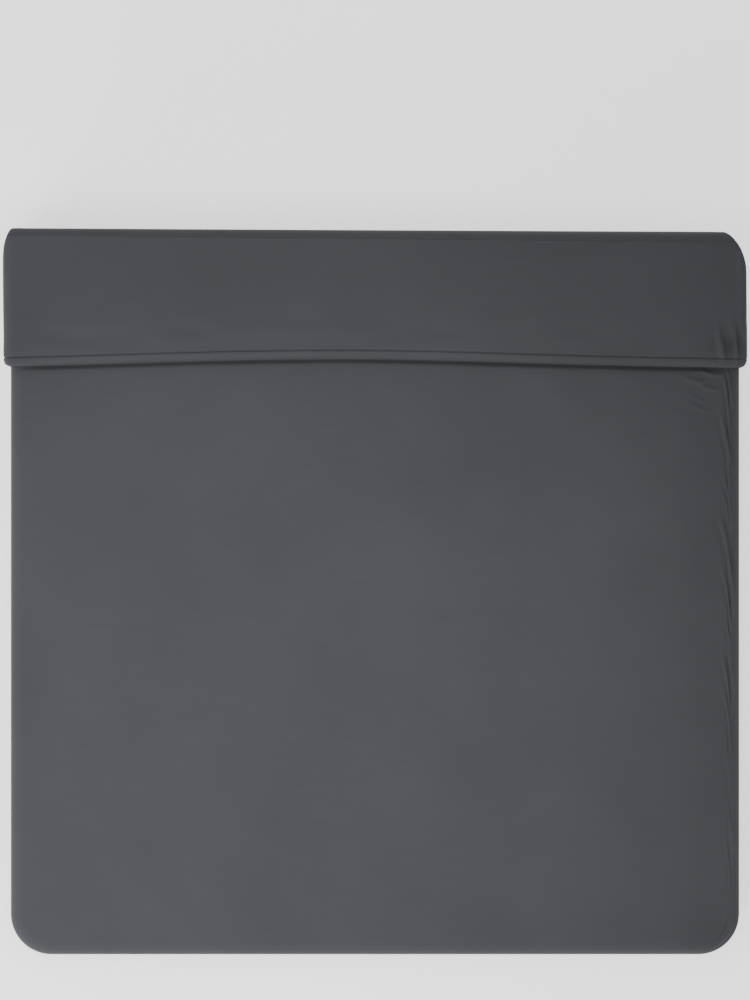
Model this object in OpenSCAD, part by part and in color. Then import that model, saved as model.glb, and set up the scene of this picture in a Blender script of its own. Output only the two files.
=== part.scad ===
// Duvet in its cover, laid over the sides and foot of a double bed with its head end turned down.
// Origin: centre of the mattress top. X across the bed, +Y to the head, Z up. Millimetres.

/* [Bed] */
// Width of the mattress under the duvet
bed_w = 1600; // [1500:10:1800]
// Length of the mattress under the duvet
bed_l = 2000; // [1900:10:2100]
// Plan radius of the mattress's two foot corners
bed_corner_r = 65; // [55:5:90]

/* [Duvet] */
// Thickness of the filled duvet as it lies
duvet_t = 28; // [26:1:34]
// Distance from the middle of the bed to the head fold's axis
fold_y = 597; // [500:1:700]
// Depth of the turned-down part, from the fold's axis to its free edge
turn_l = 281; // [220:1:340]
// Length that hangs down each side of the bed
side_drop = 375; // [300:5:420]
// Length that hangs down the foot of the bed, with its hem bands
foot_drop = 220; // [190:5:260]
// Thickness of the turned-down part where it hangs, pressed thinner than the rest
hung_t = 16; // [14:1:20]
// Pockets of filling across the bed
pockets_across = 4; // [3:1:5]
// Pockets of filling along the laid part
pockets_along = 4; // [3:1:5]

/* [Cloth] */
// Thickness of each cover panel
cover_t = 0.8; // [0.6:0.1:1]
// Thickness of each panel of the inner duvet's casing
casing_t = 0.6; // [0.4:0.1:0.8]
// Air left between neighbouring layers
layer_gap = 0.2; // [0.1:0.1:0.3]
// Depth of the seam allowance inside the cover
seam_allowance = 10; // [8:1:10]

/* [Foot opening] */
// Depth of the two hem bands at the foot opening
hem_band_h = 45; // [40:1:55]
// Number of press studs along the opening
stud_count = 7; // [5:2:7]
// Distance from one press stud to the next
stud_pitch = 200; // [140:10:200]

/* [Hidden] */
$fn = 48;

// Layers of the laid duvet, each as its start and end above the mattress
underside = [0, cover_t];
casing_lower = [underside[1] + layer_gap, underside[1] + layer_gap + casing_t];
face = [duvet_t - cover_t, duvet_t];
casing_upper = [face[0] - layer_gap - casing_t, face[0] - layer_gap];
fill = [casing_lower[1] + layer_gap, casing_upper[0] - layer_gap];

// The same layers where the turned-down part hangs, pressed thinner
hung_face = [hung_t - cover_t, hung_t];
hung_casing_upper = [hung_face[0] - layer_gap - casing_t, hung_face[0] - layer_gap];
hung_fill = [fill[0], hung_casing_upper[0] - layer_gap];

// Plan of the flat part that rests on the mattress
edge_r = 2; // inside radius of the bend over the mattress edge
flat_half = bed_w / 2 - edge_r;
flat_foot = bed_l / 2 - edge_r;
flat_corner_r = bed_corner_r - edge_r;
corner_x = flat_half - flat_corner_r;
corner_y = -(flat_foot - flat_corner_r);
wall_out = flat_half + edge_r + duvet_t; // outside of the side drops

// Turned-down part
lift = 0.5; // air between the laid face and the turned face
fold_z = duvet_t + lift / 2;
turned_z0 = duvet_t + lift;
turned_z1 = turned_z0 + duvet_t;
turn_half = flat_half + 1;
free_y = fold_y - turn_l;
edge_round_r = duvet_t / 2;
head_seam_y = free_y + edge_round_r + 8; // the end seam lies on top, just behind the rounded free edge
hung_in = wall_out + lift;
hung_out = hung_in + hung_t;
hung_top = turned_z0 - layer_gap;
hung_hem = -(side_drop - hung_top - edge_r);

// Foot drop and its opening
foot_wall = foot_drop - hem_band_h; // depth of the filled part of the foot drop
band_t = 1.6;
band_mid = edge_r + duvet_t / 2 + 1;
flap_u = band_mid + 3.2; // flap band's inner face, measured out from the flat part
band_top = foot_wall + 1;
band_end = 40; // band past the last press stud
band_half = stud_pitch * (stud_count - 1) / 2 + band_end;
stud_z = -(foot_wall + hem_band_h / 2);
stud_r = 5.5;
post_r = 2;
post_l = 2.2;
post_clearance = 0.4;
stud_plate_t = 0.6;
hem_space = 20; // empty hem below the inner duvet, where ties, loops and seam allowances lie
binding_t = 3;
ring_r = 4.2; // cord rings of the loops and ties
cord_r = 0.8;
loop_raise = 12; // height of the loops' centres above the hem
tie_raise = 7.8;
ring_from_corner = 40; // distance of the rings from the start of the foot corner
label_w = 40;
label_t = 0.6;
label_raise = 3;
pocket_gap = 6;
baffle_t = 1;
bend_r = duvet_t; // outside radius where the turned-down part bends over the laid edge
pocket_w = (2 * flat_half - (pockets_across - 1) * pocket_gap) / pockets_across;
laid_flat_l = fold_y + flat_foot;
pocket_l = (laid_flat_l - (pockets_along - 1) * pocket_gap) / pockets_along;
turned_start = head_seam_y + 1; // where the inner duvet's edge lies, behind the seam allowances
turned_pocket_w = (2 * turn_half - (pockets_across - 1) * pocket_gap) / pockets_across;

CHARCOAL = [0.095, 0.10, 0.105];
CASING_WHITE = [0.86, 0.86, 0.84];
FILL_WHITE = [0.93, 0.93, 0.91];
STUD_GREY = [0.30, 0.31, 0.32];

// ---------------------------------------------------------------- shared shapes

// Section of one layer where it bends over the mattress edge and hangs: x outward, y up.
module bend_section(layer, drop) {
    translate([0, -edge_r]) intersection() {
        difference() {
            circle(r = edge_r + layer[1]);
            circle(r = edge_r + layer[0]);
        }
        square(2 * duvet_t);
    }
    translate([edge_r + layer[0], -drop]) square([layer[1] - layer[0], drop - edge_r]);
}

// Section of one layer with a flat part that reaches in over the mattress.
module edge_section(layer, reach, drop) {
    translate([-reach, layer[0]]) square([reach, layer[1] - layer[0]]);
    bend_section(layer, drop);
}

// Extrudes a section along Y from y0 to y1, with x kept and y turned up to Z.
module along_y(y0, y1) {
    translate([0, y1, 0]) rotate([90, 0, 0]) linear_extrude(y1 - y0) children();
}

// Extrudes a section along X, with the section's x along Y and its y turned up to Z.
module along_x(half) {
    translate([-half, 0, 0]) rotate([90, 0, 90]) linear_extrude(2 * half) children();
}

// Extrudes a section along X from -half to half, with the section's x pointing to the foot.
module along_foot(half) {
    translate([half, -flat_foot, 0]) rotate([0, 0, -90]) rotate([90, 0, 0]) linear_extrude(2 * half) children();
}

// Turns a section through a right angle round one foot corner of the mattress.
module round_corner(side) {
    translate([side * corner_x, corner_y, 0]) rotate([0, 0, side > 0 ? -90 : 180])
        rotate_extrude(angle = 90) translate([flat_corner_r, 0]) children();
}

// Block below the hem that rises round the corner from the side drop's depth to the foot drop's.
module corner_hem_cut(side, above) {
    rise = side_drop - foot_wall;
    run = (wall_out - corner_x) * sqrt(2);
    slope = atan(rise / run);
    span = 2 * side_drop;
    translate([side * corner_x, -(flat_foot + edge_r + duvet_t), above - foot_wall])
        rotate([0, 0, side > 0 ? 45 : 135]) rotate([0, slope, 0])
            translate([-span / 2, -span / 2, -span]) cube(span);
}

// One whole layer over the mattress, its sides and its foot.
module laid_layer(layer, raise = 0) {
    side_depth = side_drop - raise;
    foot_depth = foot_wall - raise;
    along_y(corner_y, fold_y) {
        translate([-flat_half, layer[0]]) square([2 * flat_half, layer[1] - layer[0]]);
        for (side = [-1, 1]) scale([side, 1]) translate([flat_half, 0]) bend_section(layer, side_depth);
    }
    along_foot(corner_x) edge_section(layer, flat_corner_r, foot_depth);
    for (side = [-1, 1]) difference() {
        round_corner(side) edge_section(layer, flat_corner_r, side_depth);
        corner_hem_cut(side, raise);
    }
}

// ---------------------------------------------------------------- laid part: cover

// Lip that turns in under the wall of a panel, so that face and underside meet at the seam.
module lip_section(u0, u1, depth) {
    translate([u0, -depth]) square([u1 - u0, cover_t]);
}

module side_lips(u0, u1) {
    along_y(corner_y, fold_y)
        for (side = [-1, 1]) scale([side, 1]) translate([flat_half, 0]) lip_section(u0, u1, side_drop);
}

module cover_face_laid() {
    color(CHARCOAL) {
        laid_layer(face);
        side_lips(edge_r + duvet_t / 2 + layer_gap, edge_r + duvet_t);
        along_foot(corner_x) lip_section(flap_u, edge_r + duvet_t, foot_wall);
    }
}

module cover_underside_laid() {
    color(CHARCOAL) {
        laid_layer(underside);
        side_lips(edge_r, edge_r + duvet_t / 2 - layer_gap);
        along_foot(corner_x) lip_section(edge_r, band_mid, foot_wall);
    }
}

// Seam allowances, sewn together and standing up inside the hem of each side.
module side_seams_laid() {
    color(CHARCOAL) along_y(corner_y, fold_y - 1)
        for (side = [-1, 1])
            translate([side * (flat_half + edge_r + duvet_t / 2) - cover_t, -side_drop + cover_t + layer_gap])
                square([2 * cover_t, seam_allowance]);
}

// Sewn ends of the foot edge, either side of the opening.
module foot_seam_ends() {
    end_l = corner_x - band_half - 2;
    color(CHARCOAL) for (side = [-1, 1])
        translate([side * (band_half + 1 + end_l / 2) - end_l / 2, -flat_foot - flap_u, -foot_drop])
            cube([end_l, band_t, hem_band_h - layer_gap]);
}

module inner_hem_band() {
    color(CHARCOAL) translate([-band_half, -flat_foot - band_mid, -foot_drop])
        cube([2 * band_half, band_t, hem_band_h - layer_gap]);
}

// Rings or discs of one press-stud part, all along the opening; u is its inner face, out from the flat part.
module stud_row(u, thickness, radius, hole = 0) {
    for (i = [0 : stud_count - 1])
        translate([(i - (stud_count - 1) / 2) * stud_pitch, -flat_foot - u, stud_z]) rotate([90, 0, 0])
            difference() {
                cylinder(r = radius, h = thickness);
                if (hole > 0) translate([0, 0, -1]) cylinder(r = hole, h = thickness + 2);
            }
}

module stud_posts() {
    color(STUD_GREY) {
        stud_row(band_mid + layer_gap / 2, stud_plate_t, stud_r);
        stud_row(band_mid + layer_gap / 2 + stud_plate_t / 2, post_l, post_r);
    }
}

module stud_post_rings() {
    color(STUD_GREY) stud_row(band_mid - band_t - stud_plate_t - layer_gap / 2, stud_plate_t, stud_r, post_r);
}

// Small closed ring of round cord, lying across the hem space.
module cord_ring() {
    rotate_extrude() translate([ring_r, 0]) circle(r = cord_r);
}

// Places a ring in the hem at each foot end of the side drops.
module at_foot_ends(raise) {
    for (side = [-1, 1])
        translate([side * (flat_half + edge_r + duvet_t / 4), corner_y + ring_from_corner, raise - side_drop])
            children();
}

module duvet_loops() {
    color(CASING_WHITE) at_foot_ends(loop_raise) rotate([90, 0, 0]) cord_ring();
}

module cover_ties() {
    color(CHARCOAL) at_foot_ends(tie_raise) rotate([0, 90, 0]) cord_ring();
}

// ---------------------------------------------------------------- laid part: inner duvet

module inner_layer(layer) {
    laid_layer(layer, hem_space);
}

module casing_upper_laid() {
    color(CASING_WHITE) inner_layer(casing_upper);
}

module casing_lower_laid() {
    color(CASING_WHITE) inner_layer(casing_lower);
}

module fill_top() {
    color(FILL_WHITE) intersection() {
        for (i = [0 : pockets_across - 1], j = [0 : pockets_along - 1])
            translate([-flat_half + i * (pocket_w + pocket_gap),
                fold_y - (j + 1) * pocket_l - j * pocket_gap, fill[0]])
                cube([pocket_w, pocket_l, fill[1] - fill[0]]);
        flat_outline();
    }
}

// Outline of the flat part, with its two rounded foot corners.
module flat_outline() {
    translate([-flat_half, corner_y, -1]) cube([2 * flat_half, fold_y - corner_y, 2 * duvet_t]);
    translate([-corner_x, -flat_foot, -1]) cube([2 * corner_x, flat_corner_r + 1, 2 * duvet_t]);
    for (side = [-1, 1])
        translate([side * corner_x, corner_y, -1]) cylinder(r = flat_corner_r, h = 2 * duvet_t);
}

module side_fill(side) {
    run = fold_y - corner_y;
    length = (run - pockets_along * pocket_gap) / pockets_along;
    for (j = [0 : pockets_along - 1])
        along_y(corner_y + pocket_gap + j * (length + pocket_gap), corner_y + (j + 1) * (length + pocket_gap))
            scale([side, 1]) translate([flat_half + layer_gap, 0])
                bend_section(fill, side_drop - hem_space - binding_t);
}

module fill_left_drop() {
    color(FILL_WHITE) side_fill(-1);
}

module fill_right_drop() {
    color(FILL_WHITE) side_fill(1);
}

module fill_foot_drop() {
    length = (2 * corner_x - pockets_across * pocket_gap) / pockets_across;
    color(FILL_WHITE) for (i = [0 : pockets_across - 1])
        translate([-corner_x + pocket_gap / 2 + length / 2 + i * (length + pocket_gap), 0, 0])
            translate([0, -layer_gap, 0]) along_foot(length / 2)
                bend_section(fill, foot_wall - hem_space - binding_t);
}

module fill_foot_corners() {
    raise = hem_space + binding_t;
    color(FILL_WHITE) for (side = [-1, 1]) difference() {
        round_corner(side) translate([layer_gap, 0]) bend_section(fill, side_drop - raise);
        corner_hem_cut(side, raise);
    }
}

// Upright walls of tape that join the two casings between the pockets of the laid part.
module baffles_laid() {
    color(CASING_WHITE) {
        for (i = [1 : pockets_across - 1])
            translate([-flat_half + i * (pocket_w + pocket_gap) - (pocket_gap + baffle_t) / 2,
                -flat_foot + 1, fill[0]])
                cube([baffle_t, laid_flat_l - 2, fill[1] - fill[0]]);
        for (j = [1 : pockets_along - 1])
            translate([-flat_half + 1,
                fold_y - j * (pocket_l + pocket_gap) + (pocket_gap - baffle_t) / 2, fill[0]])
                cube([2 * flat_half - 2, baffle_t, fill[1] - fill[0]]);
    }
}

// Tape that closes the inner duvet's edge, between its casings, along both sides and the foot.
module binding_section(depth) {
    translate([edge_r + fill[0], -depth]) square([fill[1] - fill[0], binding_t - layer_gap]);
}

module binding_laid() {
    color(CASING_WHITE) {
        along_y(corner_y, fold_y - 1)
            for (side = [-1, 1])
                scale([side, 1]) translate([flat_half, 0]) binding_section(side_drop - hem_space);
        along_foot(corner_x - 1) binding_section(foot_wall - hem_space);
    }
}

// Blank care label sewn in the inner duvet's binding, inside the left hem.
module care_label() {
    color(FILL_WHITE) translate([-(flat_half + edge_r + duvet_t * 0.8), -label_w, label_raise - side_drop])
        cube([label_t, label_w, hem_space - label_raise - layer_gap]);
}

// ---------------------------------------------------------------- head fold

// Half ring round the head fold's axis, between two distances from that axis.
module fold_ring(r0, r1, half) {
    translate([-half, fold_y + layer_gap, fold_z]) rotate([90, 0, 90]) linear_extrude(2 * half)
        intersection() {
            difference() {
                circle(r = r1);
                circle(r = r0);
            }
            translate([0, -2 * duvet_t]) square([2 * duvet_t, 4 * duvet_t]);
        }
}

module head_fold_underside() {
    color(CHARCOAL) fold_ring(fold_z - cover_t, fold_z, flat_half);
}

module head_fold_fill() {
    color(FILL_WHITE) fold_ring(fold_z - fill[1], fold_z - fill[0], flat_half);
}

// Rolls where each side drop doubles back beside the head fold.
module side_fold_rolls() {
    color(CHARCOAL) for (side = [-1, 1])
        translate([side * (wall_out + lift / 2), fold_y + layer_gap, hung_hem])
            linear_extrude(-hung_hem - edge_r) intersection() {
                difference() {
                    circle(r = hung_t + lift / 2);
                    circle(r = hung_t + lift / 2 - cover_t);
                }
                translate([-2 * duvet_t, 0]) square([4 * duvet_t, 2 * duvet_t]);
            }
}

// ---------------------------------------------------------------- turned-down part

// Flat slab of one turned layer; layers are counted down from its top, which is the cover's underside.
module turned_slab(layer, y0, y1, half = turn_half) {
    translate([-half, y0, turned_z1 - layer[1]]) cube([2 * half, y1 - y0, layer[1] - layer[0]]);
}

module cover_underside_turned() {
    color(CHARCOAL) turned_slab(underside, head_seam_y + layer_gap, fold_y);
}

// Face panel, now below, which rolls up round the free edge to the seam on top.
module cover_face_turned() {
    color(CHARCOAL) along_x(turn_half) {
        translate([free_y + edge_round_r, turned_z0]) square([fold_y - free_y - edge_round_r, cover_t]);
        translate([free_y + edge_round_r, turned_z0 + edge_round_r]) intersection() {
            difference() {
                circle(r = edge_round_r);
                circle(r = edge_round_r - cover_t);
            }
            translate([-duvet_t, -duvet_t]) square([duvet_t, 2 * duvet_t]);
        }
        translate([free_y + edge_round_r, turned_z1 - cover_t])
            square([head_seam_y - layer_gap - free_y - edge_round_r, cover_t]);
    }
}

// Seam allowances of the cover's closed end, lying flat under the seam.
module head_seam() {
    color(CHARCOAL) translate([-turn_half, head_seam_y - seam_allowance, turned_z1 - 3 * cover_t - layer_gap])
        cube([2 * turn_half, seam_allowance, 2 * cover_t]);
}

module casing_lower_turned() {
    color(CASING_WHITE) turned_slab(casing_lower, turned_start, fold_y);
}

module casing_upper_turned() {
    color(CASING_WHITE) turned_slab(casing_upper, turned_start, fold_y);
}

module fill_turned() {
    color(FILL_WHITE) for (i = [0 : pockets_across - 1])
        translate([-turn_half + i * (turned_pocket_w + pocket_gap), turned_start + binding_t,
            turned_z1 - fill[1]])
            cube([turned_pocket_w, fold_y - turned_start - binding_t, fill[1] - fill[0]]);
}

module baffles_turned() {
    color(CASING_WHITE) for (i = [1 : pockets_across - 1])
        translate([-turn_half + i * (turned_pocket_w + pocket_gap) - (pocket_gap + baffle_t) / 2,
            turned_start + binding_t, turned_z1 - fill[1]])
            cube([baffle_t, fold_y - turned_start - binding_t, fill[1] - fill[0]]);
}

module binding_turned() {
    color(CASING_WHITE) turned_slab(fill, turned_start, turned_start + binding_t - layer_gap);
}

// Bend that carries the turned-down part out over the laid edge to its hanging drop.
module edge_roll(side) {
    bend_x = hung_out - bend_r;
    color(CHARCOAL) along_y(free_y, fold_y) scale([side, 1]) {
        translate([turn_half + layer_gap, turned_z1 - hung_t]) square([bend_x - turn_half - layer_gap, hung_t]);
        translate([bend_x, turned_z1 - bend_r]) intersection() {
            difference() {
                circle(r = bend_r);
                circle(r = bend_r - hung_t);
            }
            square(2 * bend_r);
        }
    }
}

module edge_roll_left() {
    edge_roll(-1);
}

module edge_roll_right() {
    edge_roll(1);
}

// ---------------------------------------------------------------- drops of the turned-down part

// One layer of a hanging turned drop; layers are counted in from its outside, which is the cover's underside.
module hung_slab(side, layer, z0 = hung_hem, z1 = hung_top, y0 = free_y) {
    x0 = side > 0 ? hung_out - layer[1] : -hung_out + layer[0];
    translate([x0, y0, z0]) cube([layer[1] - layer[0], fold_y - y0, z1 - z0]);
}

module hung_underside(side) {
    color(CHARCOAL) hung_slab(side, underside);
}

module hung_face_panel(side) {
    color(CHARCOAL) hung_slab(side, hung_face);
}

module hung_casing(side) {
    low = hung_hem + hem_space;
    color(CASING_WHITE) {
        hung_slab(side, casing_lower, low, hung_top, turned_start);
        hung_slab(side, hung_casing_upper, low, hung_top, turned_start);
        hung_slab(side, hung_fill, low, low + binding_t - layer_gap, turned_start);
    }
}

module hung_filling(side) {
    low = hung_hem + hem_space + binding_t;
    color(FILL_WHITE) hung_slab(side, hung_fill, low, hung_top, turned_start);
}

// Side seam along the hem, closing the two panels, with its allowances standing up inside.
module hung_seam(side) {
    mid = [hung_t / 2 - cover_t, hung_t / 2 + cover_t];
    inside = [underside[1] + layer_gap, hung_face[0] - layer_gap];
    color(CHARCOAL) {
        hung_slab(side, inside, hung_hem, hung_hem + cover_t);
        hung_slab(side, mid, hung_hem, hung_hem + cover_t + seam_allowance);
    }
}

module drop_face_left() {
    hung_face_panel(-1);
}

module drop_underside_left() {
    hung_underside(-1);
}

module drop_casing_left() {
    hung_casing(-1);
}

module drop_fill_left() {
    hung_filling(-1);
}

module drop_seam_left() {
    hung_seam(-1);
}

module drop_face_right() {
    hung_face_panel(1);
}

module drop_underside_right() {
    hung_underside(1);
}

module drop_casing_right() {
    hung_casing(1);
}

module drop_fill_right() {
    hung_filling(1);
}

module drop_seam_right() {
    hung_seam(1);
}

// ---------------------------------------------------------------- foot opening's flap

module closure_flap_band() {
    color(CHARCOAL) translate([-band_half, -flat_foot - flap_u - band_t, -foot_drop])
        cube([2 * band_half, band_t, foot_drop - band_top]);
}

module stud_sockets() {
    color(STUD_GREY)
        stud_row(flap_u - layer_gap - 2 * stud_plate_t, 2 * stud_plate_t, stud_r, post_r + post_clearance);
}

module stud_caps() {
    color(STUD_GREY) stud_row(flap_u + band_t + layer_gap / 2, stud_plate_t, stud_r);
}

// ---------------------------------------------------------------- what is drawn

cover_face_laid();
cover_underside_laid();
casing_upper_laid();
casing_lower_laid();
fill_top();
fill_left_drop();
fill_right_drop();
fill_foot_drop();
fill_foot_corners();
baffles_laid();
binding_laid();
side_seams_laid();
foot_seam_ends();
inner_hem_band();
stud_posts();
stud_post_rings();
duvet_loops();
cover_ties();
care_label();
head_fold_underside();
head_fold_fill();
side_fold_rolls();
cover_face_turned();
cover_underside_turned();
casing_upper_turned();
casing_lower_turned();
fill_turned();
baffles_turned();
binding_turned();
head_seam();
edge_roll_left();
edge_roll_right();
drop_face_left();
drop_underside_left();
drop_casing_left();
drop_fill_left();
drop_seam_left();
drop_face_right();
drop_underside_right();
drop_casing_right();
drop_fill_right();
drop_seam_right();
closure_flap_band();
stud_sockets();
stud_caps();
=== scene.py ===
import math

import bpy
import numpy as np
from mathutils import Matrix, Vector


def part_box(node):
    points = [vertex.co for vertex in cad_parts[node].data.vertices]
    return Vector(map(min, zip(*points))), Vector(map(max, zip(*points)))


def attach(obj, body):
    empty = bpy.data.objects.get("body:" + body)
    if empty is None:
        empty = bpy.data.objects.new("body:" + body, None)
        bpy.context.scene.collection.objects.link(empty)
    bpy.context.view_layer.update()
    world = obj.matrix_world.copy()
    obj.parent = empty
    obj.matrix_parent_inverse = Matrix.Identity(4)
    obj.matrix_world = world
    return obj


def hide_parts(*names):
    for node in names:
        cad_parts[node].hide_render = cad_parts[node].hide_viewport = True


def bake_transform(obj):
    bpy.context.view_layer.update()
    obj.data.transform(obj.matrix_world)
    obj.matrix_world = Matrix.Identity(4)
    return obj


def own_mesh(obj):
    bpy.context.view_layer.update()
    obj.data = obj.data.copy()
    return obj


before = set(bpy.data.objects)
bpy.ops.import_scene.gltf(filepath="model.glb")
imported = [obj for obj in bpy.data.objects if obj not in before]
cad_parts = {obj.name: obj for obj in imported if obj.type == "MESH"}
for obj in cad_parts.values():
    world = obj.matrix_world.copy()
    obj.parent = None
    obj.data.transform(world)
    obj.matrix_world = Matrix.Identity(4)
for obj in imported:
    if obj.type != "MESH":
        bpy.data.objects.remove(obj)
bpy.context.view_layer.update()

# ---------------------------------------------------------------- sizes, in metres, from the CAD

FACE_LOW, FACE_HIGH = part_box("cover_face_laid")
TURNED_LOW, TURNED_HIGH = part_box("cover_face_turned")
DROP_LOW, DROP_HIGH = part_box("drop_underside_right")
DROP_FACE_LOW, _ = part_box("drop_face_right")
FLAP_LOW, FLAP_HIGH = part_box("closure_flap_band")
BAND_LOW, BAND_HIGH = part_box("inner_hem_band")
SEAM_LOW, SEAM_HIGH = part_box("foot_seam_ends")
LABEL_LOW, LABEL_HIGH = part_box("care_label")

THICK = FACE_HIGH[2]  # thickness of the laid duvet
WALL_OUT = FACE_HIGH[0]  # outside of the side drops
FOLD_Y = FACE_HIGH[1]
FREE_Y = TURNED_LOW[1]
TURN_TOP = TURNED_HIGH[2]
SIDE_DEPTH = -FACE_LOW[2]
FOOT_DEPTH = -FLAP_HIGH[2]
HUNG_OUT = DROP_HIGH[0]  # outside and inside of the turned-down part's hanging sides
HUNG_IN = DROP_FACE_LOW[0]
HUNG_HEM = DROP_LOW[2]

# ---------------------------------------------------------------- chosen shape, in metres

RIGHT_ANGLE = math.pi / 2

EDGE_IN = 0.002  # inside radius of the bend over the mattress edge
EDGE_OUT = EDGE_IN + THICK
FLAT_HALF = WALL_OUT - EDGE_OUT
FLAT_CORNER = 0.063  # radius of the flat part's foot corners
CORNER_X = FLAT_HALF - FLAT_CORNER
CORNER_Y = FACE_LOW[1] + EDGE_OUT + FLAT_CORNER
ARC = EDGE_OUT * RIGHT_ANGLE  # length of the outer surface round the mattress edge
SIDE_REACH = FLAT_CORNER + ARC + SIDE_DEPTH - EDGE_IN
FOOT_REACH = FLAT_CORNER + ARC + FOOT_DEPTH - EDGE_IN
LAID_HEAD = FOLD_Y - 0.003  # where the laid cover ends, under the head fold
HEAD_ROOM = 0.006  # how far inside the head corner's outline the laid part stays

ROLL_R = TURN_TOP / 2
HEAD_CORNER_LEFT = (0.042, 0.080)  # the head fold's left end, how far it rounds off along X and Y
HEAD_CORNER_RIGHT = (0.070, 0.108)
HEAD_ASKEW = 0.0100  # slope of the head fold in plan, its left end nearer the head
HELD_X = HUNG_IN + 0.002  # further out, the fold starts where it does here
FOLD_LIMIT = FOLD_Y + 0.008  # the turned top never starts nearer the head than this
HUNG_LIMIT = FOLD_Y + 0.002  # and its hanging sides never nearer than this
SIDE_TIGHTENING = 0.025  # how much nearer the outline the fold starts down the sides

EDGE_SAG = 0.013  # how far past its straight place the free edge lies at its ends
EDGE_BOW = 0.022  # how far it bows back towards the head
EDGE_BOW_MIDDLE = -0.10
EDGE_BOW_SPAN = 0.62
SEAM_FROM_EDGE = 0.020  # the turned end's seam, on top of the rounded edge
SEAM_GROOVE = 0.0030

CROWN_DROP = 0.018  # how much lower the top lies at its right edge
CROWN_FROM, CROWN_TO = 0.68, 0.86

TURN_ARC = THICK * RIGHT_ANGLE  # length of the turned part's bend over the laid edge
TURN_BEND = HUNG_OUT - THICK  # where that bend starts and ends
BEND_END = TURN_BEND + TURN_ARC
TURN_REACH = BEND_END + (TURN_TOP - THICK - HUNG_HEM)
TURN_SLOPE = 0.008  # how much lower the turned part lies at its head fold
CORNER_THICK = 0.0055  # thickness left where the head corners round the hanging sides in
DROP_LEAD = 0.030  # how much nearer the head fold the hanging sides reach than the top does at its corners

ROLL_LAP = 0.004  # how far the head fold reaches in under the turned part's end
ROLL_TUCK = 0.0002
ROLL_THIN = 0.012  # least and greatest distance that the head fold stands out from the ends it joins
ROLL_REACH = 0.0245

COVER_ROOM = 0.0032  # cover cloth and the air inside it
HEM_SPACE = 0.034  # empty hem of the cover, past the inner duvet's end
HEM_ROUND = 0.018  # height over which the laid drops round in to their hem
TURN_HEM_ROUND = 0.012
QUILT_WIDTH = 0.022  # how far the pull of a quilting seam is felt


# ---------------------------------------------------------------- number helpers

def smooth(value, low, high):
    """Eases from 0 at low to 1 at high."""
    t = np.clip((value - low) / (high - low), 0.0, 1.0)
    return t * t * (3 - 2 * t)


def bell(distance, width):
    """1 where the distance is 0, falling off on both sides over the width."""
    return np.exp(-(distance / width) ** 2)


def waves(x, y, seed, longest, shortest, count=18):
    """Smooth random relief of about unit height, made of plane waves of the given lengths."""
    rng = np.random.default_rng(seed)
    total = np.zeros_like(x)
    for _ in range(count):
        length = math.exp(rng.uniform(math.log(shortest), math.log(longest)))
        heading = rng.uniform(0, math.pi)
        phase = rng.uniform(0, 2 * math.pi)
        total += np.sin(2 * math.pi * (x * math.cos(heading) + y * math.sin(heading)) / length + phase)
    return total / math.sqrt(count / 2)


def hollows(relief):
    """The same relief held between -1 and 1 and raised, so that it is never below 0."""
    return 1 + np.clip(relief, -1, 1)


def crease(x, y, start, end, width, bow_share=0.04):
    """Height of one long soft crease, with a shallow valley on each side; it bows to the right."""
    ax, ay = start
    dx, dy = end[0] - ax, end[1] - ay
    length = math.hypot(dx, dy)
    along = ((x - ax) * dx + (y - ay) * dy) / length ** 2
    bow = bow_share * length * np.sin(math.pi * np.clip(along, 0, 1))
    across = ((x - ax) * dy - (y - ay) * dx) / length - bow
    taper = smooth(along, -0.02, 0.3) * (1 - smooth(along, 0.65, 1.02))
    return taper * (1.5 * bell(across, width) - 0.7 * bell(across, 2.2 * width))


def spaced(*stretches):
    """One row of stations from (start, end, step) stretches that follow each other."""
    rows = []
    for start, end, step in stretches:
        count = max(2, int(round(abs(end - start) / step)) + 1)
        rows.append(np.linspace(start, end, count)[:-1])
    rows.append(np.array([stretches[-1][1]]))
    return np.concatenate(rows)


# ---------------------------------------------------------------- mesh helpers

def make_object(name, points, faces, material):
    mesh = bpy.data.meshes.new(name)
    mesh.from_pydata([tuple(p) for p in points], [], faces)
    mesh.validate()
    mesh.update()
    mesh.polygons.foreach_set("use_smooth", [True] * len(mesh.polygons))
    mesh.materials.append(material)
    obj = bpy.data.objects.new(name, mesh)
    bpy.context.scene.collection.objects.link(obj)
    return obj


def grid_faces(rows, columns, closed_rows=False, flip=False, first=0):
    """Quads of a grid of points stored row by row."""
    faces = []
    for i in range(rows if closed_rows else rows - 1):
        j = (i + 1) % rows
        for k in range(columns - 1):
            a, b = first + i * columns + k, first + i * columns + k + 1
            c, d = first + j * columns + k + 1, first + j * columns + k
            faces.append((d, c, b, a) if flip else (a, b, c, d))
    return faces


def edge_loop(rows, columns):
    """Indices round the border of a grid, in order."""
    top = list(range(columns))
    right = [i * columns + columns - 1 for i in range(1, rows)]
    bottom = [(rows - 1) * columns + k for k in range(columns - 2, -1, -1)]
    left = [i * columns for i in range(rows - 2, 0, -1)]
    return top + right + bottom + left


def shell_object(name, outer, inner, material):
    """Closed body between two grids of points of the same size, outer facing out."""
    rows, columns = outer.shape[:2]
    points = np.concatenate([outer.reshape(-1, 3), inner.reshape(-1, 3)])
    below = rows * columns
    faces = grid_faces(rows, columns) + grid_faces(rows, columns, flip=True, first=below)
    loop = edge_loop(rows, columns)
    for a, b in zip(loop, loop[1:] + loop[:1]):
        faces.append((b, a, a + below, b + below))
    return make_object(name, points, faces, material)


# ---------------------------------------------------------------- materials

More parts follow.
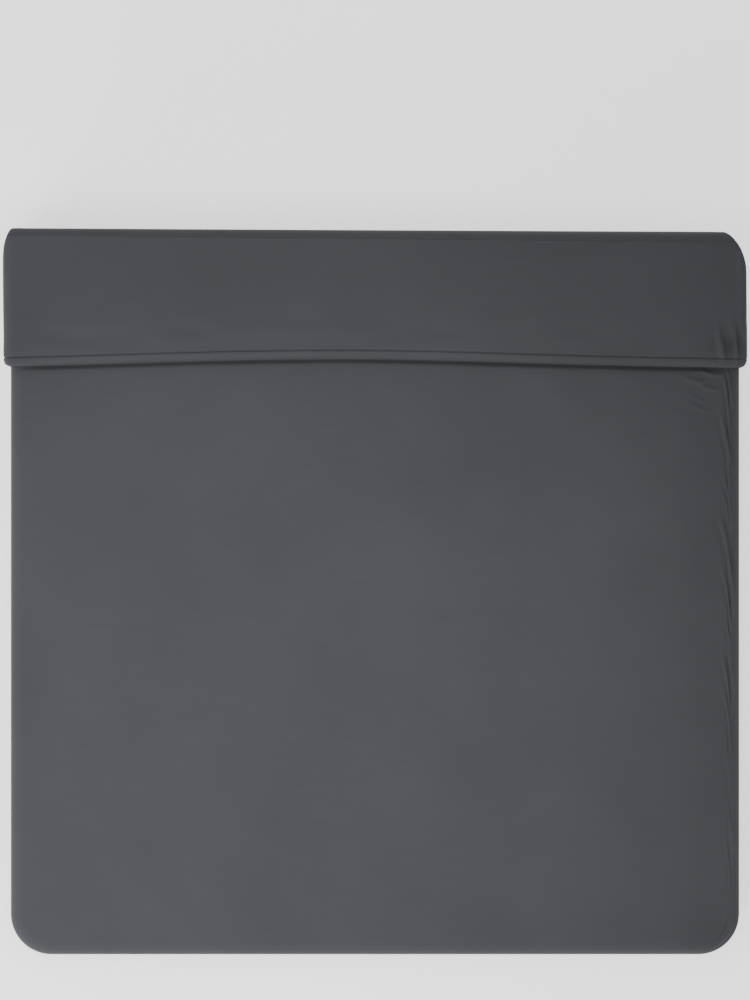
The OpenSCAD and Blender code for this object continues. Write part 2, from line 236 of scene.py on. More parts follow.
# A wave texture at a scale of 1 draws about 3.2 bands a metre, and each band stands for a pair of threads.
WEAVE_SCALE = 6.28
SLUBS_ACROSS = (14, 520, 120)  # stretch of the thick threads along X, then along Y
SLUBS_ALONG = (420, 16, 120)


def new_material(name):
    """A material with its node list, its link list and its surface shader."""
    material = bpy.data.materials.new(name)
    material.use_nodes = True
    nodes = material.node_tree.nodes
    return material, nodes, material.node_tree.links, nodes["Principled BSDF"]


def cloth_material(name, base, thread, slub, sheen, rough, mottle):
    """Woven cloth: base colour with slubby threads, broad mottling, fine weave relief and a soft sheen."""
    material, nodes, links, shader = new_material(name)
    shader.inputs["Roughness"].default_value = rough
    shader.inputs["Specular IOR Level"].default_value = 0.25
    shader.inputs["Sheen Weight"].default_value = sheen
    shader.inputs["Sheen Roughness"].default_value = 0.45
    place = nodes.new("ShaderNodeTexCoord")

    def stretched_noise(scale, size, detail):
        mapping = nodes.new("ShaderNodeMapping")
        mapping.inputs["Scale"].default_value = scale
        noise = nodes.new("ShaderNodeTexNoise")
        noise.inputs["Scale"].default_value = size
        noise.inputs["Detail"].default_value = detail
        links.new(place.outputs["Object"], mapping.inputs["Vector"])
        links.new(mapping.outputs["Vector"], noise.inputs["Vector"])
        return noise.outputs["Fac"]

    def weave(direction, threads_per_m):
        wave = nodes.new("ShaderNodeTexWave")
        wave.bands_direction = direction
        wave.inputs["Scale"].default_value = threads_per_m / WEAVE_SCALE
        wave.inputs["Distortion"].default_value = 0.6
        wave.inputs["Detail"].default_value = 1.0
        links.new(place.outputs["Object"], wave.inputs["Vector"])
        return wave.outputs["Fac"]

    def blended(a, b, share):
        mix = nodes.new("ShaderNodeMix")
        mix.data_type = "FLOAT"
        mix.inputs[0].default_value = share
        links.new(a, mix.inputs[2])
        links.new(b, mix.inputs[3])
        return mix.outputs[0]

    slubs = blended(stretched_noise(SLUBS_ACROSS, 1.0, 3.0), stretched_noise(SLUBS_ALONG, 1.0, 2.0), 0.2)
    broad = stretched_noise((1, 1, 1), 3.0, 2.0)
    ramp = nodes.new("ShaderNodeValToRGB")
    for stop, position, tone in zip(ramp.color_ramp.elements, (0.3, 0.7), (1 - slub, 1 + slub)):
        stop.position = position
        stop.color = (*[c * tone for c in base], 1)
    links.new(blended(slubs, broad, mottle), ramp.inputs["Fac"])
    links.new(ramp.outputs["Color"], shader.inputs["Base Color"])

    threads = blended(weave("X", 1 / thread), weave("Y", 1 / thread), 0.5)
    bump = nodes.new("ShaderNodeBump")
    bump.inputs["Strength"].default_value = 0.35
    bump.inputs["Distance"].default_value = 0.0006
    links.new(blended(threads, slubs, 0.4), bump.inputs["Height"])
    links.new(bump.outputs["Normal"], shader.inputs["Normal"])
    return material


def plastic_material(name, base, rough):
    """Moulded plastic with a fine uneven gloss."""
    material, nodes, links, shader = new_material(name)
    shader.inputs["Base Color"].default_value = (*base, 1)
    place = nodes.new("ShaderNodeTexCoord")
    noise = nodes.new("ShaderNodeTexNoise")
    noise.inputs["Scale"].default_value = 900
    spread = nodes.new("ShaderNodeMapRange")
    spread.inputs["To Min"].default_value = rough - 0.06
    spread.inputs["To Max"].default_value = rough + 0.06
    links.new(place.outputs["Object"], noise.inputs["Vector"])
    links.new(noise.outputs["Fac"], spread.inputs["Value"])
    links.new(spread.outputs["Result"], shader.inputs["Roughness"])
    return material


COVER = cloth_material("cover_cotton", (0.0590, 0.0608, 0.0665), 0.0011, 0.09, 0.06, 0.88, 0.50)
CASING = cloth_material("casing_cotton", (0.80, 0.80, 0.78), 0.0008, 0.03, 0.05, 0.8, 0.3)
LABEL = cloth_material("label_tape", (0.78, 0.78, 0.76), 0.0006, 0.02, 0.2, 0.6, 0.2)
THREAD = cloth_material("sewing_thread", (0.060, 0.062, 0.066), 0.0004, 0.05, 0.2, 0.7, 0.2)
STUD = plastic_material("stud_plastic", (0.30, 0.31, 0.32), 0.35)


# ---------------------------------------------------------------- plan outlines

def head_line(x):
    """Plan outline of the head fold: straight, lying a little askew, and rounded back at both ends."""
    span_x = np.where(x < 0, HEAD_CORNER_LEFT[0], HEAD_CORNER_RIGHT[0])
    span_y = np.where(x < 0, HEAD_CORNER_LEFT[1], HEAD_CORNER_RIGHT[1])
    past = np.clip((np.abs(x) - (HUNG_OUT - span_x)) / span_x, 0, 1)
    return FOLD_Y + ROLL_R - HEAD_ASKEW * x - span_y * (1 - np.sqrt(1 - past ** 2))


def side_limit(y, side_sign):
    """How far out the rounded head corner lets the cloth reach at a distance y towards the head."""
    span_x, span_y = HEAD_CORNER_LEFT if side_sign < 0 else HEAD_CORNER_RIGHT
    top = FOLD_Y + ROLL_R - HEAD_ASKEW * side_sign * HUNG_OUT
    depth = 1 - np.clip((top - y) / span_y, 0, 1)
    return HUNG_OUT - span_x * (1 - np.sqrt(1 - depth ** 2))


def fold_start(x):
    """Where the turned part ends and its head fold begins; the fold is tighter down the sides."""
    held = np.sign(x) * np.minimum(np.abs(x), HELD_X)
    tighter = SIDE_TIGHTENING * smooth(np.abs(x), 0.78, 0.83)
    return np.minimum(head_line(held) - ROLL_R + tighter, FOLD_LIMIT)


def free_edge(x):
    """The free edge bows a little towards the head, most of all left of the middle."""
    return FREE_Y - EDGE_SAG + EDGE_BOW * bell(x - EDGE_BOW_MIDDLE, EDGE_BOW_SPAN)


# ---------------------------------------------------------------- laid part

def laid_path(reach, inner):
    """Out and down along the duvet's section: distance from the corner circle's centre, height and bend."""
    radius = EDGE_IN if inner else EDGE_OUT
    angle = np.clip((reach - FLAT_CORNER) / ARC, 0, 1) * RIGHT_ANGLE
    below = np.maximum(reach - FLAT_CORNER - ARC, 0)
    out = np.minimum(reach, FLAT_CORNER) + radius * np.sin(angle)
    height = radius * np.cos(angle) - EDGE_IN - below
    return out, height, angle, below


def right_crown(x):
    """How far the top falls away, round and soft, towards its right side."""
    return CROWN_DROP * smooth(x, CROWN_FROM, CROWN_TO)


def top_relief(x, y):
    """Gentle lie of the laid top: broad soft swells, pressed down under the turned part's free edge."""
    swells = 0.0019 * waves(x, y, 11, 1.3, 0.42)
    ripple = 0.0005 * waves(x, y, 12, 0.28, 0.11)
    pressed = 0.0065 * bell(y - free_edge(x) + 0.0005, 0.0065)
    return swells + ripple - pressed


def long_edge_creases(x, y, rng, count=20):
    """Slender creases that run along the right edge, deeper towards the head."""
    total = np.zeros_like(x)
    y_high, y_low = FREE_Y - 0.10, FACE_LOW[1] + 0.07
    for i in range(count):
        share = (i + rng.uniform(0.1, 0.9)) / count
        start_y = y_low + (y_high - y_low) * share
        strength = 0.35 + 0.65 * smooth(share, 0.25, 0.55)
        length = rng.uniform(0.10, 0.24)
        start_x = WALL_OUT - rng.uniform(0.002, 0.018)
        lean = rng.uniform(0.008, 0.040)
        height = strength * rng.uniform(0.0024, 0.0060)
        width = rng.uniform(0.0030, 0.0055)
        end_y = min(start_y + length, FREE_Y - 0.004)
        total += height * crease(x, y, (start_x, start_y), (start_x - lean, end_y), width)
    return total


def foot_corner_crease(x, y):
    """One crease that follows the right foot corner round."""
    start = (WALL_OUT - 0.050, FACE_LOW[1] + 0.0185)
    end = (start[0] + 0.0427, start[1] + 0.067)
    return 0.0050 * crease(x, y, start, end, 0.0045, 0.12)


def turn_corner_creases(x, y, rng, count=5):
    """Short creases on the laid top, just below the right end of the turned part's free edge."""
    total = np.zeros_like(x)
    for i in range(count):
        start_x = WALL_OUT - 0.115 + 0.03 * rng.uniform(-1, 1)
        start_y = FREE_Y - 0.012 - 0.014 * i + 0.005 * rng.uniform(-1, 1)
        fall = rng.uniform(-0.050, -0.010)
        reach = rng.uniform(0.05, 0.09)
        total += 0.0026 * crease(x, y, (start_x, start_y), (start_x + reach, start_y + fall), 0.0050, 0.12)
    return total


def hem_pinch(below, depth, span):
    """How far the section has rounded in towards its seam, 0 above the hem to 1 at it."""
    t = np.clip((below - (depth - span)) / span, 0, 1)
    return 1 - np.sqrt(np.maximum(1 - t * t, 0))


def quilting(u, v):
    """1 along the seams between the pockets of filling, falling to 0 in their middles."""
    pitch_u = (2 * FLAT_HALF + 0.006) / 4
    pitch_v = (FOLD_Y - CORNER_Y + FLAT_CORNER) / 4
    from_u = np.abs((u + FLAT_HALF + pitch_u / 2) % pitch_u - pitch_u / 2)
    from_v = np.abs((v - FOLD_Y + pitch_v / 2) % pitch_v - pitch_v / 2)
    return np.maximum(np.exp(-from_u / QUILT_WIDTH), np.exp(-from_v / QUILT_WIDTH))


def laid_relief(x, y, around, reach, angle, below):
    """How far the laid part's outer surface stands off its plain section, on top and down the drops."""
    rng = np.random.default_rng(23)
    creases = long_edge_creases(x, y, rng) + foot_corner_crease(x, y) + turn_corner_creases(x, y, rng)
    on_flat = 1 - smooth(reach, FLAT_CORNER * 0.2, FLAT_CORNER + ARC * 0.8)
    top = top_relief(x, y) * on_flat - right_crown(x) * np.cos(angle)
    folds = 0.0045 * hollows(waves(around, 0 * around, 31, 0.42, 0.13, 10))
    small_folds = 0.0012 * hollows(waves(around, below, 32, 0.20, 0.07, 12))
    return top + creases * (1 - smooth(angle, 0.85, 1.50)) - smooth(below, 0.02, 0.30) * (folds + small_folds)


def laid_grid(across, along, inner, inset=0.0, quilt_depth=0.0, hem_raise=0.0):
    """Points of the laid part's outer or inner surface; inset moves it inward, and quilting pinches it."""
    u, v = np.meshgrid(across, along, indexing="ij")
    past_side = np.maximum(np.abs(u) - CORNER_X, 0)
    past_foot = np.maximum(CORNER_Y - v, 0)
    reach = np.maximum(past_side, past_foot)
    tiny = 1e-9
    half_corner = math.pi / 4
    turn = np.where(past_foot <= past_side, half_corner * past_foot / np.maximum(past_side, tiny),
                    RIGHT_ANGLE - half_corner * past_side / np.maximum(past_foot, tiny))
    turn = np.where(reach > 0, turn, 0)
    dir_x, dir_y = np.sign(u) * np.cos(turn), -np.sin(turn)
    out, height, angle, below = laid_path(reach, inner)
    x = np.clip(u, -CORNER_X, CORNER_X) + dir_x * out
    y = np.maximum(v, CORNER_Y) + dir_y * out
    lift = -inset - quilt_depth * quilting(u, v)
    if not inner:
        around = np.where(past_foot > past_side, x, np.sign(u) * (2.0 - y))
        lift = lift + laid_relief(x, y, around, reach, angle, below)
    foot_share = smooth(past_foot / np.maximum(past_side + past_foot, tiny), 0.35, 0.65)
    depth = SIDE_DEPTH * (1 - foot_share) + FOOT_DEPTH * foot_share - EDGE_IN - hem_raise
    pinch = hem_pinch(below, depth, HEM_ROUND)
    middle = THICK / 2 - 0.001
    lift = lift * (1 - 0.8 * pinch) - (middle - inset) * pinch
    lift = -lift if inner else lift
    y = y - inset * smooth(y, FREE_Y, LAID_HEAD)
    x = x + dir_x * np.sin(angle) * lift
    y = y + dir_y * np.sin(angle) * lift
    z = height + np.cos(angle) * lift
    room = np.where(x < 0, side_limit(y, -1), side_limit(y, 1)) - HEAD_ROOM - inset
    return np.stack([np.clip(x, -room, room), y, z], axis=-1)


side = spaced((0, FLAT_CORNER + ARC, 0.0028),
              (FLAT_CORNER + ARC, SIDE_REACH - 0.02, 0.010),
              (SIDE_REACH - 0.02, SIDE_REACH, 0.003))
foot = spaced((0, FLAT_CORNER * 0.6, 0.010),
              (FLAT_CORNER * 0.6, FLAT_CORNER + ARC, 0.004),
              (FLAT_CORNER + ARC, FOOT_REACH - 0.02, 0.010),
              (FOOT_REACH - 0.02, FOOT_REACH, 0.003))
middle_x = spaced((-CORNER_X, CORNER_X, 0.010))
middle_y = spaced((CORNER_Y, FREE_Y - 0.15, 0.008),
                  (FREE_Y - 0.15, FREE_Y - 0.03, 0.0036),
                  (FREE_Y - 0.03, FREE_Y + 0.03, 0.0022),
                  (FREE_Y + 0.03, LAID_HEAD, 0.012))
across = np.concatenate([-CORNER_X - side[:0:-1], middle_x, CORNER_X + side[1:]])
along = np.concatenate([CORNER_Y - foot[:0:-1], middle_y])

laid_outer = laid_grid(across, along, False)
laid_inner = laid_grid(across, along, True)
cover_laid = shell_object("cover_laid", laid_outer, laid_inner, COVER)
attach(cover_laid, "laid_duvet")
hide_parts("cover_face_laid", "cover_underside_laid", "side_seams_laid")

inner_across = across[np.abs(across) < CORNER_X + SIDE_REACH - HEM_SPACE][::2]
inner_along = along[along > CORNER_Y - FOOT_REACH + HEM_SPACE][::2]
inner_laid = shell_object(
    "inner_duvet_laid",
    laid_grid(inner_across, inner_along, False, COVER_ROOM, 0.008, HEM_SPACE),
    laid_grid(inner_across, inner_along, True, COVER_ROOM, 0.004, HEM_SPACE),
    CASING,
)
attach(inner_laid, "laid_duvet")
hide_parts("casing_upper_laid", "casing_lower_laid", "fill_top", "fill_left_drop",
            "fill_right_drop", "fill_foot_drop", "fill_foot_corners", "baffles_laid", "binding_laid")


# ---------------------------------------------------------------- turned-down part

def turned_path(t, inner):
    """Section of the turned-down part from its middle out and down one side, t in metres of travel."""
    bend_z = TURN_TOP - THICK
    angle = np.clip((t - TURN_BEND) / TURN_ARC, 0, 1) * RIGHT_ANGLE
    below = np.maximum(t - TURN_BEND - TURN_ARC, 0)
    if not inner:
        x = np.minimum(t, TURN_BEND) + THICK * np.sin(angle)
        z = bend_z + THICK * np.cos(angle) - below
        return x, z, angle, below
    lost = (THICK - (HUNG_OUT - HUNG_IN)) * smooth(t, FLAT_HALF - 0.039, TURN_BEND)
    thin = THICK - lost
    x = np.minimum(t, TURN_BEND) + lost * np.sin(angle)
    z = np.where(t < TURN_BEND, TURN_TOP - thin, bend_z + lost * np.cos(angle)) - below
    return x, z, angle, below


def turned_relief(x, y):
    """Soft swells on the turned part, faint creases above its seam and short puckers at its right end."""
    from_seam = y - free_edge(x) - SEAM_FROM_EDGE
    swells = 0.0016 * waves(x, y, 41, 0.9, 0.3)
    long_creases = 0.0011 * bell(from_seam - 0.040, 0.035) * waves(0.35 * x, y, 42, 0.10, 0.045, 10)
    puckers = 0.0004 * bell(from_seam - 0.006, 0.012) * waves(x, 0 * y, 43, 0.05, 0.018, 12)
    ridges = np.maximum(waves(x, 0.2 * y, 44, 0.04, 0.018, 10), -0.4)
    upright = 0.0036 * smooth(x, 0.74, 0.80) * bell(from_seam - 0.03, 0.05) * ridges
    return swells + long_creases + puckers + upright


def turned_rows(start, edge, round_r, seam):
    """Stations round the turned part's section: (y, share from outer to inner surface, is on top)."""
    near = 0.0055  # reach of the close rows on both sides of the seam
    last = start - 0.0008  # the row next to the end, which keeps the end's edge crisp
    rows = [(start, 0.0, True)]
    rows += [(last + (seam + 0.008 - last) * share, 0.0, True) for share in np.linspace(0, 1, 28)]
    rows += [(seam + step, 0.0, True) for step in np.linspace(near, -near, 15)]
    edge_top = np.minimum(edge + round_r, seam - near - 0.0004)
    for bend in np.linspace(RIGHT_ANGLE, -RIGHT_ANGLE, 15)[1:]:
        rows.append((edge_top - (edge_top - edge) * math.cos(bend), (1 - math.sin(bend)) / 2, False))
    rows += [(edge_top + (last - edge_top) * share, 1.0, False) for share in np.linspace(0, 1, 14)[1:]]
    rows.append((start, 1.0, False))
    return rows


def turned_start(x, below):
    """Where the section's head end lies: nearer the head fold down the hanging sides than on top."""
    on_top = fold_start(x)
    hung = np.minimum(on_top + DROP_LEAD, HUNG_LIMIT)
    hung_share = smooth(below, 0, 0.03)
    return on_top * (1 - hung_share) + hung * hung_share


def free_corner(y, cover_edge, deep, angle):
    """How far the hanging sides narrow towards the free edge, which rounds off their corner."""
    past = np.clip(1 - (y - cover_edge) / 0.022, 0, 1)
    return 0.0135 * (1 - deep) * np.sin(angle) ** 2 * (1 - np.sqrt(1 - past ** 2))


def turned_half(direction, t, inset=0.0, edge_inset=0.0, quilt_depth=0.0):
    """Points of one side of the turned-down part: round from its head fold by way of the free edge."""
    ox, oz, angle, below = turned_path(t, False)
    ix, iz, _, _ = turned_path(t, True)
    reaches_hem = t[-1] > BEND_END
    pinch = hem_pinch(below, t[-1] - BEND_END, TURN_HEM_ROUND) if reaches_hem else np.zeros_like(below)
    start = turned_start(direction * ox, below) - 3 * inset
    cover_edge = free_edge(direction * ox)
    edge = cover_edge + edge_inset
    seam = edge + SEAM_FROM_EDGE
    crown = right_crown(direction * t) * np.cos(angle)
    thick = np.hypot(ox - ix, oz - iz)
    filled = (inset + quilt_depth * quilting(direction * t, FOLD_Y + 0.2)) / thick
    inward = 0.48 * pinch + (1 - pinch) * filled
    ox, ix = ox + (ix - ox) * inward, ix + (ox - ix) * inward
    oz, iz = oz + (iz - oz) * inward, iz + (oz - iz) * inward
    round_r = 0.5 * np.maximum(np.hypot(ox - ix, oz - iz), 0.004)
    grid = []
    for y, deep, on_top in turned_rows(start, edge, round_r, seam):
        lift = -crown
        if on_top:
            relief = turned_relief(direction * t, y) * smooth(y - cover_edge, 0.0, 0.03)
            relief = relief * (1 - smooth(below, 0.0, 0.02))
            if inset == 0:
                relief = relief - SEAM_GROOVE * bell(y - seam, 0.0018)
            lift = lift + relief * smooth(start - y, 0.0, 0.05)
        if deep < 1:
            hang = smooth(below, 0.02, 0.25) * smooth(start - y, 0.0, 0.06)
            lift = lift - 0.0012 * hang * hollows(waves(y, below, 45, 0.25, 0.09, 8))
        slope = TURN_SLOPE * (1 - deep) * smooth(y, edge + 0.05, FOLD_Y)
        x = direction * (ox + (ix - ox) * deep + np.sin(angle) * np.minimum(lift, 0))
        x = x - direction * free_corner(y, cover_edge, deep, angle)
        z = oz + (iz - oz) * deep + np.cos(angle) * (lift - slope)
        depth_share = 0.25 + 0.5 * deep if inset > 0 else deep
        room = side_limit(y, direction) - CORNER_THICK * depth_share
        grid.append(np.stack([np.clip(x, -room, room), y, z], axis=-1))
    return np.array(grid)


def turned_object(name, direction, t, material, **shape):
    """Body of one side of the turned-down part, closed except at the middle, where it meets the other."""
    grid = turned_half(direction, t, **shape)
    rows, columns = grid.shape[:2]
    faces = grid_faces(rows, columns, closed_rows=True, flip=direction > 0)
    closed_ends = [(columns - 1, 1)] if t[0] == 0 else [(columns - 1, 1), (0, -1)]
    for column, outward in closed_ends:
        end = [i * columns + column for i in range(rows)]
        for i in range(rows // 2 - 1):
            corners = (end[i], end[i + 1], end[rows - 2 - i], end[rows - 1 - i])
            faces.append(corners if direction * outward > 0 else corners[::-1])
    return make_object(name, grid.reshape(-1, 3), faces, material)


INNER_HEM = TURN_REACH - HEM_SPACE
INNER_SHAPE = {"inset": COVER_ROOM + 0.001, "edge_inset": 0.026, "quilt_depth": 0.004}
cover_t = spaced((0, TURN_BEND - 0.06, 0.010),
                 (TURN_BEND - 0.06, BEND_END, 0.003),
                 (BEND_END, TURN_REACH - 0.015, 0.012),
                 (TURN_REACH - 0.015, TURN_REACH, 0.003))
inner_top_t = spaced((0, TURN_BEND - 0.055, 0.012))
inner_drop_t = spaced((BEND_END + 0.050, INNER_HEM - 0.015, 0.012), (INNER_HEM - 0.015, INNER_HEM, 0.003))

for word, direction in (("left", -1), ("right", 1)):
    half = turned_object("cover_turned_" + word, direction, cover_t, COVER)
    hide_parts("cover_face_turned", "cover_underside_turned", "head_seam", "edge_roll_" + word,
                "drop_face_" + word, "drop_underside_" + word, "drop_seam_" + word)
    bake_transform(half)

    inner_top = turned_object("inner_duvet_turned_" + word, direction, inner_top_t, CASING, **INNER_SHAPE)
    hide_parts("casing_upper_turned", "casing_lower_turned", "fill_turned", "baffles_turned",
                "binding_turned")
    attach(inner_top, "turn_down")
    inner_drop = turned_object("inner_duvet_drop_" + word, direction, inner_drop_t, CASING, **INNER_SHAPE)
    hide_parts("drop_casing_" + word, "drop_fill_" + word)
    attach(inner_drop, "turned_drop_" + word)


# ---------------------------------------------------------------- head fold

def roll_grid(t, direction):
    """Half-round fold that joins the turned part's outer surface to the laid part's underside."""
    ox, oz, angle, _ = turned_path(t, False)
    start = fold_start(direction * ox)
    crown = right_crown(direction * t) * np.cos(angle)
    sunk = crown + ROLL_TUCK
    ox = np.minimum(ox - sunk * np.sin(angle), side_limit(start, direction) - ROLL_TUCK)
    oz = oz - (sunk + TURN_SLOPE) * np.cos(angle)
    laid_reach = t - CORNER_X
    lx, lz, _, _ = laid_path(np.maximum(laid_reach, 0), True)
    lx = np.where(laid_reach > 0, CORNER_X + lx, t)
    hem_share = np.clip((lz - HUNG_HEM) / 0.02, 0, 1)
    lz = np.maximum(lz, HUNG_HEM + 0.004 * (1 - hem_share))
    upper_y = start - ROLL_LAP
    lower_y = np.minimum(LAID_HEAD, head_line(direction * lx) - 0.004)
    stand_out = np.clip(0.5 * np.hypot(ox - lx, oz + crown - lz), ROLL_THIN, ROLL_REACH)
    grid = []
    for bend in np.linspace(RIGHT_ANGLE, -RIGHT_ANGLE, 19):
        up = (1 + math.sin(bend)) / 2
        x = lx + (ox - lx) * up
        z = lz + (oz - lz) * up
        y = lower_y + (upper_y - lower_y) * up + stand_out * math.cos(bend)
        y = np.minimum(y, head_line(direction * x) + 0.0005)
        grid.append(np.stack([direction * x, y, z], axis=-1))
    return np.array(grid)


def roll_object(name, points):
    """One open half-round fold on the laid duvet, with a mesh of its own."""
    rows, columns = points.shape[:2]
    roll = make_object(name, points.reshape(-1, 3), grid_faces(rows, columns, flip=True), COVER)
    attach(roll, "laid_duvet")
    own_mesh(roll)
    return roll


top_t = spaced((0, TURN_BEND - 0.06, 0.012),
               (TURN_BEND - 0.06, BEND_END, 0.005),
               (BEND_END, BEND_END + 0.03, 0.010))
right_part = roll_grid(top_t, 1)
left_part = roll_grid(top_t, -1)[:, ::-1]
whole_head = np.concatenate([left_part[:, :-1], right_part], axis=1)
head_roll = roll_object("head_roll", whole_head)
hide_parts("head_fold_underside", "head_fold_fill")

side_t = spaced((BEND_END + 0.028, TURN_REACH - 0.004, 0.012))
for word, direction in (("left", -1), ("right", 1)):
    side_points = roll_grid(side_t, direction)[:, ::direction]
    side_roll = roll_object("side_roll_" + word, side_points)
    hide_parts("side_fold_rolls")


# ---------------------------------------------------------------- foot opening and small parts inside

def strip(name, low, high, material, seed):
    """Hem band: a thin closed strip with a faint ripple, facing the foot."""
    xs = spaced((low[0], high[0], 0.008))
    zs = spaced((low[2], high[2], 0.005))
    x, z = np.meshgrid(xs, zs, indexing="ij")
    half_t = (high[1] - low[1]) / 2
    ripple = 0.0005 * waves(x, 0.4 * z, seed, 0.25, 0.05, 10) * smooth(high[2] - z, 0.004, 0.02)
    middle = (high[1] + low[1]) / 2 + ripple
    front = np.stack([x, middle - half_t, z], axis=-1)
    back = np.stack([x, middle + half_t, z], axis=-1)
    return shell_object(name, front, back, material)


def hung_sheet(sheet, body, node):
    """Parents a flat strip of the cover to its body, in place of its CAD node, which it hides."""
    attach(sheet, body)
    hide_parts(node)


def stitch_row(name, x0, x1, y, z, body):
    """A straight row of raised stitches along X."""
    pitch, length, radius, sides = 0.0036, 0.0026, 0.00035, 5
    points, faces = [], []
    for x in np.arange(x0, x1, pitch):
        first = len(points)
        for end in (x, x + length):
            for k in range(sides):
                turn = 2 * math.pi * k / sides
                points.append((end, y + radius * math.cos(turn), z + radius * math.sin(turn)))
        for k in range(sides):
            n = (k + 1) % sides
            faces.append((first + k, first + n, first + sides + n, first + sides + k))
        faces.append(tuple(first + k for k in range(sides - 1, -1, -1)))
        faces.append(tuple(first + sides + k for k in range(sides)))
    row = make_object(name, points, faces, THREAD)
    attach(row, body)


inner_band = strip("inner_hem_strip", BAND_LOW, BAND_HIGH, COVER, 51)
flap_band = strip("closure_flap_strip", FLAP_LOW, FLAP_HIGH, COVER, 52)
hung_sheet(inner_band, "laid_duvet", "inner_hem_band")
hung_sheet(flap_band, "closure_flap", "closure_flap_band")

STITCH_END = 0.004  # the stitches stop this far from the flap's ends
for height in (FLAP_LOW[2] + 0.003, FLAP_HIGH[2] - 0.004):
    stitch_row("flap_stitches_%d" % round(-height * 1000), FLAP_LOW[0] + STITCH_END,
               FLAP_HIGH[0] - STITCH_END, FLAP_LOW[1] - 0.0002, height, "closure_flap")

SEAM_LAP = 0.006  # how far each sewn end reaches in behind the flap
for word, direction in (("left", -1), ("right", 1)):
    ends = sorted((direction * (BAND_HIGH[0] - SEAM_LAP), direction * SEAM_HIGH[0]))
    low = (ends[0], SEAM_LOW[1], SEAM_LOW[2])
    high = (ends[1], SEAM_HIGH[1], SEAM_HIGH[2])
    seam_end = strip("foot_seam_" + word, low, high, COVER, 53)
    hung_sheet(seam_end, "laid_duvet", "foot_seam_ends")

CORD_R = 0.0008
CORD_TWISTS = 9
CORD_GROOVE = 0.14  # depth of the grooves between the cord's strands, as a share of its radius


def ring_point(centre, ring_r, across_x, around_turn, section_turn):
    """One point on the surface of a ring of twisted cord; across_x lays the ring in the plane across X."""
    groove = CORD_GROOVE * (0.5 + 0.5 * math.cos(2 * section_turn + CORD_TWISTS * around_turn))
    r = CORD_R * (1 - groove)
    from_centre = ring_r + r * math.cos(section_turn)
    flat, up = from_centre * math.cos(around_turn), from_centre * math.sin(around_turn)
    aside = r * math.sin(section_turn)
    offset = (aside, flat, up) if across_x else (flat, aside, up)
    return tuple(c + o for c, o in zip(centre, offset))


def cord_rings(name, node, across_x, material):
    """A closed loop of twisted cord at each foot corner of the hem."""
    low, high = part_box(node)
    ring_r = (high[2] - low[2]) / 2 - CORD_R
    from_middle = high[0] - (CORD_R if across_x else ring_r + CORD_R)
    around, section = 40, 8
    points, faces = [], []
    for side_sign in (-1, 1):
        centre = (side_sign * from_middle, (high[1] + low[1]) / 2, (high[2] + low[2]) / 2)
        first = len(points)
        for i in range(around):
            for k in range(section):
                around_turn = 2 * math.pi * i / around
                section_turn = 2 * math.pi * k / section
                points.append(ring_point(centre, ring_r, across_x, around_turn, section_turn))
        for i in range(around):
            here = first + i * section
            there = first + ((i + 1) % around) * section
            for k in range(section):
                n = (k + 1) % section
                faces.append((here + k, here + n, there + n, there + k))
    rings = make_object(name, points, faces, material)
    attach(rings, "laid_duvet")
    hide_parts(node)


cord_rings("loops", "duvet_loops", False, CASING)
cord_rings("ties", "cover_ties", True, COVER)

LABEL_IN, LABEL_UP = 0.0142, 0.012  # how far the label moves, clear of the cover's rounded hem
ys, zs = np.meshgrid(spaced((LABEL_LOW[1], LABEL_HIGH[1], 0.002)),
                     spaced((LABEL_LOW[2] + LABEL_UP, LABEL_HIGH[2] + LABEL_UP, 0.002)), indexing="ij")
label_half = (LABEL_HIGH[0] - LABEL_LOW[0]) / 2
label_x = (LABEL_LOW[0] + LABEL_HIGH[0]) / 2 + LABEL_IN + 0.0006 * np.sin((ys - LABEL_LOW[1]) * 90)
label = shell_object("care_label_tape", np.stack([label_x - label_half, ys, zs], axis=-1),
                     np.stack([label_x + label_half, ys, zs], axis=-1), LABEL)
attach(label, "laid_duvet")
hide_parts("care_label")

for name in ("stud_posts", "stud_post_rings", "stud_sockets", "stud_caps"):
    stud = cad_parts[name]
    stud.data.materials.clear()
    stud.data.materials.append(STUD)


# ---------------------------------------------------------------- floor, light and camera

VIEW_HEIGHT = 2.269  # height of the view on the duvet's plane
VIEW_MIDDLE_Y = 0.005
CAMERA_DISTANCE = 14.0
SENSOR = 36.0
FLOOR_HALF = 40.0
FLOOR_GAP = 0.004  # between the floor and the lowest hem
WHITE = (1, 1, 1, 1)


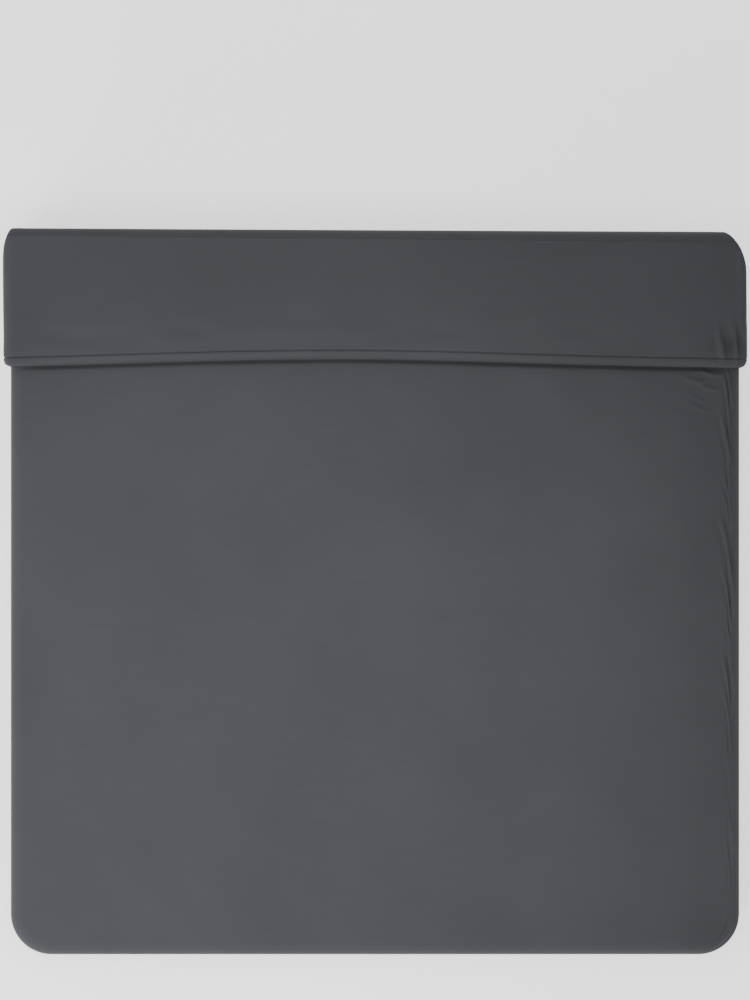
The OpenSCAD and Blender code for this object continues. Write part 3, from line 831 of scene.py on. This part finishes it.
def place_object(name, data, place):
    """Puts a lamp, camera or mesh into the scene."""
    obj = bpy.data.objects.new(name, data)
    obj.location = place
    bpy.context.scene.collection.objects.link(obj)
    return obj


floor_paint, _, _, floor_shader = new_material("floor_white")
floor_shader.inputs["Base Color"].default_value = (0.94, 0.94, 0.94, 1)
floor_shader.inputs["Roughness"].default_value = 0.9
floor_shader.inputs["Emission Color"].default_value = WHITE
floor_shader.inputs["Emission Strength"].default_value = 1.2
floor_mesh = bpy.data.meshes.new("floor")
floor_z = FACE_LOW[2] - FLOOR_GAP
corners = [(x * FLOOR_HALF, y * FLOOR_HALF, floor_z) for x, y in ((-1, -1), (1, -1), (1, 1), (-1, 1))]
floor_mesh.from_pydata(corners, [], [(0, 1, 2, 3)])
floor_mesh.materials.append(floor_paint)
place_object("floor", floor_mesh, (0, 0, 0))

key_place = Vector((-3.4, -3.4, 2.6))
key_light = bpy.data.lights.new("key_foot_left", "AREA")
key_light.shape = "SQUARE"
key_light.size = 2.4
key_light.energy = 130
key_lamp = place_object("key_foot_left", key_light, key_place)
key_lamp.rotation_mode = "QUATERNION"
key_lamp.rotation_quaternion = (Vector((0, -0.2, 0)) - key_place).to_track_quat("-Z", "Y")

pool_light = bpy.data.lights.new("soft_pool", "SPOT")
pool_light.energy = 700
pool_light.spot_size = math.radians(43)
pool_light.spot_blend = 1.0
pool_light.shadow_soft_size = 0.8
place_object("soft_pool", pool_light, (-0.40, -0.52, 5.0))

world = bpy.data.worlds.new("studio")
world.use_nodes = True
world.node_tree.nodes["Background"].inputs["Color"].default_value = WHITE
world.node_tree.nodes["Background"].inputs["Strength"].default_value = 0.6
bpy.context.scene.world = world

camera_data = bpy.data.cameras.new("camera")
camera_data.sensor_width = SENSOR
camera_data.sensor_fit = "AUTO"
camera_data.lens = SENSOR * CAMERA_DISTANCE / VIEW_HEIGHT
camera_data.clip_end = 100
camera = place_object("camera", camera_data, (0, VIEW_MIDDLE_Y, CAMERA_DISTANCE + THICK))
bpy.context.scene.camera = camera
